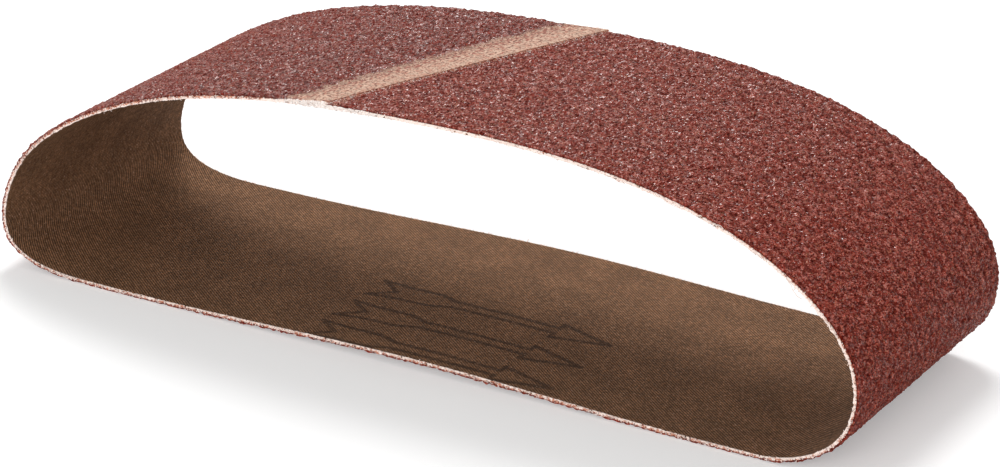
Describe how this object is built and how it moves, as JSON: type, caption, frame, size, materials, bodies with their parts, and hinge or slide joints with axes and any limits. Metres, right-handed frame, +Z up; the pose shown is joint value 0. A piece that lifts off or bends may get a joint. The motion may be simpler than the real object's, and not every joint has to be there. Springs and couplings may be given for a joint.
{
  "type": "sanding belt",
  "caption": "Endless abrasive cloth belt for a hand-held belt sander, standing open as a loop, closed by a slanting glued lap.",
  "frame": {"origin": "on the surface that the belt stands on, below the middle of the loop's box", "axes": "+X along the loop's long side, +Y across the belt's width, +Z up"},
  "size_m": [0.2424, 0.075, 0.0649],
  "materials": {
    "cloth": "resin-filled woven cotton cloth, matt",
    "grain": "coarse abrasive grain in resin, with small glints",
    "glue": "set glue, satin"
  },
  "bodies": {
    "root": {"cloth_backing": "cloth", "grain_coat": "grain", "lap_glue": "glue"}
  },
  "joints": []
}
